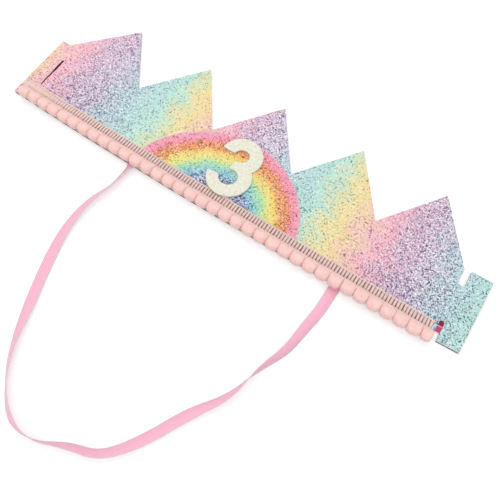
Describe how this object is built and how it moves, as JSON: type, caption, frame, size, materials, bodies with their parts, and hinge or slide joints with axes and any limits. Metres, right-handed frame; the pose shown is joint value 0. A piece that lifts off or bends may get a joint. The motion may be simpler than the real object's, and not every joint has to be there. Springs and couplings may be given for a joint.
{
  "type": "party crown",
  "caption": "Soft toddler party crown laid flat: pointed glitter band with slit and tab closure, rainbow patch, felt 3, pom-pom trim and elastic strap.",
  "frame": {"origin": "on the felt's back face, under the middle point, level with the lower edge of the tape", "axes": "+X along the band from the slit to the tab, +Y towards the points, +Z out of the glitter face"},
  "size_m": [0.3794, 0.2964, 0.0111],
  "materials": {
    "glitter_sheet": "coarse glitter in a pastel rainbow blend",
    "dark_felt": "matt pressed felt",
    "rainbow_glitter": "fine glitter in rainbow rings",
    "pearl_felt": "white felt with a pearly glitter coat",
    "pink_braid": "woven cotton tape",
    "pom_yarn": "soft cut yarn",
    "pink_elastic": "soft flat elastic with a fine rib",
    "crimson_tape": "woven tape with a pale line across"
  },
  "bodies": {
    "root": {"crown_front": "glitter_sheet", "felt_backing": "dark_felt", "rainbow_patch": "rainbow_glitter", "numeral_three": "pearl_felt", "trim_tape": "pink_braid", "elastic_strap": "pink_elastic", "side_tag": "crimson_tape", "pom_pom_01": "pom_yarn", "pom_pom_02": "pom_yarn", "pom_pom_03": "pom_yarn", "pom_pom_04": "pom_yarn", "pom_pom_05": "pom_yarn", "pom_pom_06": "pom_yarn", "pom_pom_07": "pom_yarn", "pom_pom_08": "pom_yarn", "pom_pom_09": "pom_yarn", "pom_pom_10": "pom_yarn", "pom_pom_11": "pom_yarn", "pom_pom_12": "pom_yarn", "pom_pom_13": "pom_yarn", "pom_pom_14": "pom_yarn", "pom_pom_15": "pom_yarn", "pom_pom_16": "pom_yarn", "pom_pom_17": "pom_yarn", "pom_pom_18": "pom_yarn", "pom_pom_19": "pom_yarn", "pom_pom_20": "pom_yarn", "pom_pom_21": "pom_yarn", "pom_pom_22": "pom_yarn", "pom_pom_23": "pom_yarn", "pom_pom_24": "pom_yarn", "pom_pom_25": "pom_yarn", "pom_pom_26": "pom_yarn", "pom_pom_27": "pom_yarn", "pom_pom_28": "pom_yarn", "pom_pom_29": "pom_yarn", "pom_pom_30": "pom_yarn", "pom_pom_31": "pom_yarn", "pom_pom_32": "pom_yarn", "pom_pom_33": "pom_yarn", "pom_pom_34": "pom_yarn", "pom_pom_35": "pom_yarn", "pom_pom_36": "pom_yarn"}
  },
  "joints": []
}
